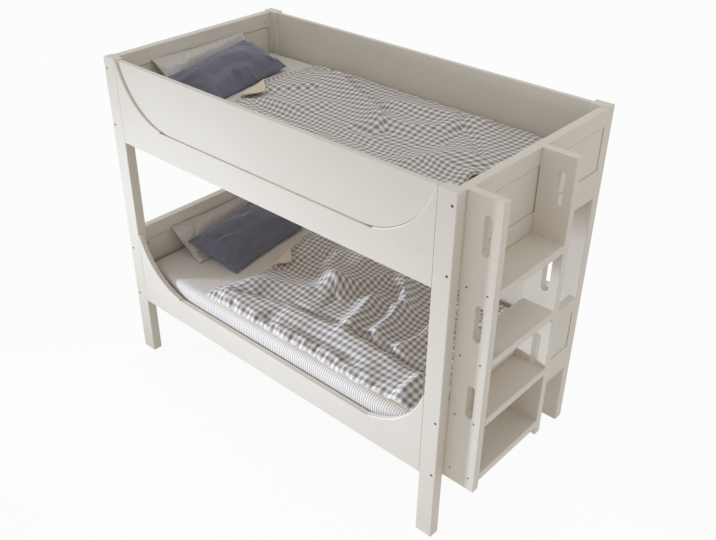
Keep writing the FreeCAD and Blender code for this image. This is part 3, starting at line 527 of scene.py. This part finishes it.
# Ridges (up) and creases (down) of each quilt: rise, width to the left and to the right of the line,
# and the line, in metres from the middle of the mattress
quilt_folds = {
    "lower": [
        (0.030, 0.070, 0.050,
         [(-0.46, -0.33), (-0.30, -0.20), (-0.20, -0.155), (-0.11, -0.11), (-0.01, -0.02)]),
        (0.034, 0.080, 0.030, [(-0.25, 0.18), (-0.19, 0.09), (-0.12, 0.03), (-0.05, -0.01)]),
        (-0.018, 0.030, 0.110, [(-0.31, 0.17), (-0.24, 0.06), (-0.16, -0.01)]),
        (0.034, 0.080, 0.130, [(-0.10, 0.32), (-0.06, 0.16), (-0.02, 0.03)]),
        (0.024, 0.070, 0.036, [(-0.05, -0.025), (0.03, 0.005), (0.06, 0.115), (0.10, 0.25)]),
        (0.032, 0.045, 0.018, [(0.16, 0.29), (0.29, 0.16), (0.335, 0.10)]),
        (0.046, 0.034, 0.060, [(0.24, -0.235), (0.228, -0.118), (0.19, 0.03)]),
        (0.046, 0.034, 0.065, [(0.365, -0.18), (0.345, -0.01), (0.32, 0.06)]),
        (0.026, 0.020, 0.045, [(0.30, 0.16), (0.18, 0.34)]),
        (0.026, 0.040, 0.070,
         [(-0.44, -0.43), (-0.30, -0.37), (-0.08, -0.31), (0.16, -0.295), (0.45, -0.30), (0.72, -0.31)]),
        (-0.026, 0.024, 0.016,
         [(-0.36, -0.37), (-0.26, -0.31), (-0.10, -0.255), (0.15, -0.235), (0.46, -0.239), (0.72, -0.244)]),
        (-0.016, 0.030, 0.026, [(-0.10, -0.43), (0.10, -0.393), (0.29, -0.387), (0.45, -0.415)]),
        (-0.022, 0.030, 0.020, [(-0.41, -0.07), (-0.33, 0.08), (-0.26, 0.20)]),
        (0.034, 0.022, 0.060, [(0.731, -0.46), (0.733, -0.37), (0.75, -0.27)]),
        (0.030, 0.022, 0.060, [(0.52, -0.20), (0.56, -0.06), (0.54, 0.12)]),
        (0.018, 0.050, 0.020, [(0.40, 0.34), (0.58, 0.24), (0.78, 0.26)]),
    ],
    "upper": [
        (-0.036, 0.016, 0.022, [(-0.48, 0.434), (-0.38, 0.42), (-0.19, 0.326), (-0.05, 0.265), (0.10, 0.20)]),
        (0.036, 0.022, 0.080, [(-0.36, 0.37), (-0.19, 0.28), (-0.05, 0.22), (0.10, 0.15), (0.18, 0.08)]),
        (0.022, 0.060, 0.050, [(0.15, 0.12), (0.30, 0.13), (0.39, 0.20), (0.44, 0.30)]),
        (0.024, 0.060, 0.070, [(0.10, 0.30), (0.29, 0.34), (0.47, 0.38)]),
        (-0.020, 0.020, 0.020, [(0.40, 0.38), (0.48, 0.27), (0.51, 0.10)]),
        (-0.020, 0.020, 0.020, [(0.48, 0.27), (0.59, 0.21), (0.70, 0.09)]),
        (-0.028, 0.016, 0.030, [(-0.49, -0.02), (-0.49, 0.05), (-0.44, 0.11), (-0.38, 0.19)]),
        (0.022, 0.040, 0.060, [(-0.40, -0.06), (-0.27, -0.065), (-0.21, -0.01), (-0.19, 0.05)]),
        (-0.014, 0.022, 0.022, [(0.12, -0.04), (0.22, -0.03), (0.24, 0.03)]),
        (0.020, 0.050, 0.070, [(0.52, -0.16), (0.58, 0.00), (0.70, 0.05)]),
        (0.018, 0.040, 0.060, [(-0.45, -0.16), (-0.30, -0.28), (0.00, -0.36)]),
        (0.018, 0.060, 0.040, [(0.15, -0.25), (0.45, -0.32), (0.75, -0.28)]),
    ],
}
# Where the head, front and foot edges lie, and how deep the head edge is turned back
head_edge = {
    "lower": [(-0.48, -0.505), (-0.41, -0.512), (-0.28, -0.463), (-0.08, -0.438), (0.124, -0.499),
              (0.287, -0.541), (0.45, -0.550)],
    "upper": [(-0.47, -0.530), (-0.166, -0.540), (-0.05, -0.576), (0.098, -0.618), (0.20, -0.622),
              (0.45, -0.612)],
}
turn_back = {
    "lower": [(-0.10, 0.010), (0.00, 0.100), (0.13, 0.030), (0.45, 0.014)],
    "upper": [(-0.19, 0.010), (-0.05, 0.115), (0.10, 0.026), (0.45, 0.010)],
}
front_edge = {
    "lower": [(-0.52, -0.486), (-0.44, -0.489), (-0.34, -0.482), (-0.02, -0.479), (0.20, -0.474),
              (0.45, -0.481), (0.83, -0.460)],
    "upper": [(-0.52, -0.476), (0.10, -0.470), (0.83, -0.476)],
}
foot_edge = {
    "lower": [(-0.47, 0.872), (-0.20, 0.880), (0.20, 0.866), (0.47, 0.878)],
    "upper": [(-0.47, 0.845), (-0.18, 0.800), (-0.07, 0.780), (0.05, 0.850), (0.47, 0.872)],
}
# A small lift of the foot edge: its height, its middle across the bed, and its depth and width
foot_lift = {"lower": (0.0, 0.0), "upper": (0.022, -0.10)}
lift_depth = 0.05
lift_width = 0.10
quilt_cell = 0.012
quilt_gap = 0.001
sheet_gap = 0.0015
quilt_loft = 0.018
seam_loft = 0.008
least_loft = 0.006
loft_run = 0.06
turned_rows = 10
roll_gap = 0.004
roll = quilt_loft / 2 + roll_gap
piping = 0.003
back_draw = 0.25
shoulder_reach = 0.92
# Folds fade out under the turned-back flap and towards the seams
flap_least = 0.02
flap_lap = 0.04
flap_fade = 0.05
rim_share = 0.35
rim_run = 0.08
# Lumps of filling: height, waves per metre, and the level of the noise field they are read from
filling_lumps = ((0.007, 5, 1.5), (0.004, 13, 4.5))
# Puckers along the seams, strongest 20 mm in
pucker_rise = 0.005
pucker_waves = 24
pucker_level = 9.5
pucker_in = 0.02
pucker_run = 0.03
# The check wanders off the straight by up to 30 mm, away from the seams
drift_most = 0.030
drift_waves = 2.7
drift_level_x = 7.5
drift_level_y = 11.5
drift_run = 0.15
# Share of the swelling that is kept away from the front edge, and how far the edge's own reaches
swell_kept = 0.25
swell_run = 0.09
for bunk in bunks:
    low, high = (Vector(corner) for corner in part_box(bunk + "_quilt"))
    mattress_low, mattress_high = (Vector(corner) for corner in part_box(bunk + "_mattress"))
    middle = (mattress_low.x + mattress_high.x) / 2
    flat_top = mattress_high.y - mattress_shoulder
    base = low.z + quilt_gap
    rows = round((high.x - low.x) / quilt_cell) + turned_rows
    columns = round((high.y - low.y) / quilt_cell)
    panel = bmesh.new()
    bmesh.ops.create_grid(panel, x_segments=rows, y_segments=columns, size=0.5)
    cloth_map = panel.loops.layers.uv.new("cloth")
    for face in panel.faces:
        for loop in face.loops:
            at = loop.vert.co
            loop[cloth_map].uv = (at.x * rows * quilt_cell, at.y * columns * quilt_cell)
    under = bmesh.ops.extrude_face_region(panel, geom=panel.faces[:], use_keep_orig=True)
    lining_verts = [g for g in under["geom"] if isinstance(g, bmesh.types.BMVert)]
    bmesh.ops.translate(panel, vec=(0, 0, -1), verts=lining_verts)
    upright = [e for e in panel.edges if abs(e.verts[0].co.z - e.verts[1].co.z) > 0.5]
    bmesh.ops.subdivide_edges(panel, edges=upright, cuts=1)
    for face in panel.faces:
        face.material_index = 0 if min(v.co.z for v in face.verts) > -0.1 else 1
    panel.verts.index_update()
    held = []
    keep = []
    for vertex in panel.verts:
        layer = vertex.co.z + 1
        row = (vertex.co.x + 0.5) * rows
        share = vertex.co.y + 0.5
        y = low.y + share * (high.y - low.y)
        depth = between(turn_back[bunk], y)
        foot_x = between(foot_edge[bunk], y)
        roll_turn = min(math.pi / 2, depth / roll)
        fold_x = between(head_edge[bunk], y) + (quilt_loft + roll_gap) * math.sin(roll_turn)
        over = depth * max(0.0, 1 - row / turned_rows)
        x = fold_x + max(0.0, row - turned_rows) / (rows - turned_rows) * (foot_x - fold_x)
        front = between(front_edge[bunk], x)
        y += (front - low.y) * (1 - share) ** 2 - (high.y - flat_top) * back_draw * share ** 4
        rim = max(0.0, min(y - front, (1 - share) * (high.y - low.y), foot_x - x, x - fold_x + depth - over))
        rise = 1 - min(1.0, rim / loft_run)
        loft = seam_loft + (quilt_loft - seam_loft) * (1 - rise * rise) ** 0.5
        clear = ease((x - fold_x - depth + flap_lap) / flap_fade) if depth > flap_least else 1.0
        relief = fold_height(quilt_folds[bunk], x, y) * clear
        relief += sum(lump * noise.noise((x * waves, y * waves, level))
                      for lump, waves, level in filling_lumps)
        relief = relief * (rim_share + (1 - rim_share) * ease(rim / rim_run))
        pucker = math.exp(-((rim - pucker_in) / pucker_run) ** 2) * (1 - share)
        relief += pucker_rise * noise.noise((x * pucker_waves, y * pucker_waves, pucker_level)) * pucker
        height = max(least_loft, loft + relief) * layer
        if layer == 0.5:
            over += piping if row < 0.5 else 0.0
            x += piping if row > rows - 0.5 else 0.0
            y += piping * ((share > 0.999) - (share < 0.001))
        drift = ease(rim / drift_run)
        x += drift_most * drift * noise.noise((x * drift_waves, y * drift_waves, drift_level_x))
        y += drift_most * drift * noise.noise((x * drift_waves, y * drift_waves, drift_level_y))
        drop = min(max(0.0, abs(y) - flat_top), mattress_shoulder * shoulder_reach)
        lift, lift_y = foot_lift[bunk]
        lift *= math.exp(-((x - foot_x) / lift_depth) ** 2 - ((y - lift_y) / lift_width) ** 2)
        if over > 0:
            height = min(height, quilt_loft)
            angle = min(over / roll, math.pi)
            arm = quilt_loft + roll_gap - height
            x = fold_x - arm * math.sin(angle) + max(0.0, over - math.pi * roll)
            height = quilt_loft + roll_gap - arm * math.cos(angle)
        height += lift - mattress_shoulder + (mattress_shoulder ** 2 - drop ** 2) ** 0.5
        vertex.co = (middle + x, y, base + height)
        keep.append(swell_kept + (1 - swell_kept) * math.exp(-((y - front) / swell_run) ** 2))
        if layer < 0.25 or over > 0:
            held.append(vertex.index)
    bmesh.ops.recalc_face_normals(panel, faces=panel.faces)
    quilt = cloth_piece(bunk + "_quilt_cover", panel, gingham, beige_lining)
    quilt.vertex_groups.new(name="held").add(held, 1.0, "REPLACE")
    swell(quilt, pressure=1.0, frames=18, cap=0.02, grow=0.07, held="held", keep=keep)
    keep_clear(quilt, scene.objects[bunk + "_mattress_sheet"], gap=sheet_gap, reach=0.0, way=1)
    soften(quilt)
    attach(quilt, bunk + "_quilt_body")
    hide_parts(bunk + "_quilt")

# Studio: a pale seamless floor, soft daylight all round, and one lamp with a narrow cone, low at the
# front left. The floor and the sky are white to the eye, and the floor keeps some of the bed's shadow.
shadow_kept = 0.07
floor_reach = 20


def seen_share(tree):
    """Nodes that give 1 for rays from the eye, also by way of metal or glass, and 0 for all others."""
    path = add(tree, "ShaderNodeLightPath")
    seen = add(tree, "ShaderNodeMath", {0: path.outputs["Is Camera Ray"], 1: path.outputs["Is Glossy Ray"]},
               operation="MAXIMUM")
    seen = add(tree, "ShaderNodeMath", {0: seen.outputs["Value"], 1: path.outputs["Is Transmission Ray"]},
               operation="MAXIMUM")
    return seen.outputs["Value"]


# Matt floor paper: off-white to the light, and white to the eye but for the shadow.
floor_paper, tree, _, out = finish_named("matt_floor_paper")
share = add(tree, "ShaderNodeMath", {0: seen_share(tree), 1: 1 - shadow_kept}, operation="MULTIPLY")
paper = add(tree, "ShaderNodeBsdfDiffuse", {"Color": linear("#EFEEEC")})
glow = add(tree, "ShaderNodeEmission", {"Color": linear("#FFFFFF"), "Strength": 1.0})
both = add(tree, "ShaderNodeMixShader", {0: share.outputs["Value"], 1: paper.outputs["BSDF"],
                                         2: glow.outputs["Emission"]})
tree.links.new(both.outputs["Shader"], out.inputs["Surface"])
ground = bmesh.new()
bmesh.ops.create_grid(ground, x_segments=1, y_segments=1, size=floor_reach)
floor = cloth_piece("floor", ground, floor_paper)

sky = bpy.data.worlds.new("studio_sky")
scene.world = sky
sky.use_nodes = True
tree = sky.node_tree
tree.nodes.clear()
daylight = add(tree, "ShaderNodeBackground", {"Color": linear("#FFFFFF"), "Strength": 0.74})
white = add(tree, "ShaderNodeBackground", {"Color": linear("#FFFFFF"), "Strength": 1.0})
both = add(tree, "ShaderNodeMixShader", {0: seen_share(tree), 1: daylight.outputs["Background"],
                                         2: white.outputs["Background"]})
add(tree, "ShaderNodeOutputWorld", {"Surface": both.outputs["Shader"]})

lamp_place = Vector((-5.12, -3.5, 1.68))
lamp_aim = Vector((0.2, -0.55, 0.76))
bulb = bpy.data.lights.new("front_lamp", "AREA")
bulb.size = 0.5
bulb.spread = math.radians(28.6)
bulb.energy = 13
bulb.color = linear("#DCEAFF")[:3]
front_lamp = bpy.data.objects.new("front_lamp", bulb)
front_lamp.location = lamp_place
front_lamp.rotation_euler = (lamp_aim - lamp_place).to_track_quat("-Z", "Y").to_euler()
front_lamp.visible_camera = False
scene.collection.objects.link(front_lamp)

# Camera: above the foot end and to the front, as the bed was photographed. Its lens, place and turn
# were fitted to the bed's own corners and edges.
lens = bpy.data.cameras.new("camera")
lens.sensor_fit = "HORIZONTAL"
lens.sensor_width = 36
lens.lens = 44.28
lens.shift_x = 0.02575
lens.shift_y = -0.0008
camera = bpy.data.objects.new("camera", lens)
camera.location = (2.4772, -2.7765, 3.0978)
camera.rotation_euler = (math.radians(57.596), 0, math.radians(42.803))
scene.collection.objects.link(camera)
scene.camera = camera
scene.view_settings.view_transform = "Standard"

bpy.context.view_layer.update()
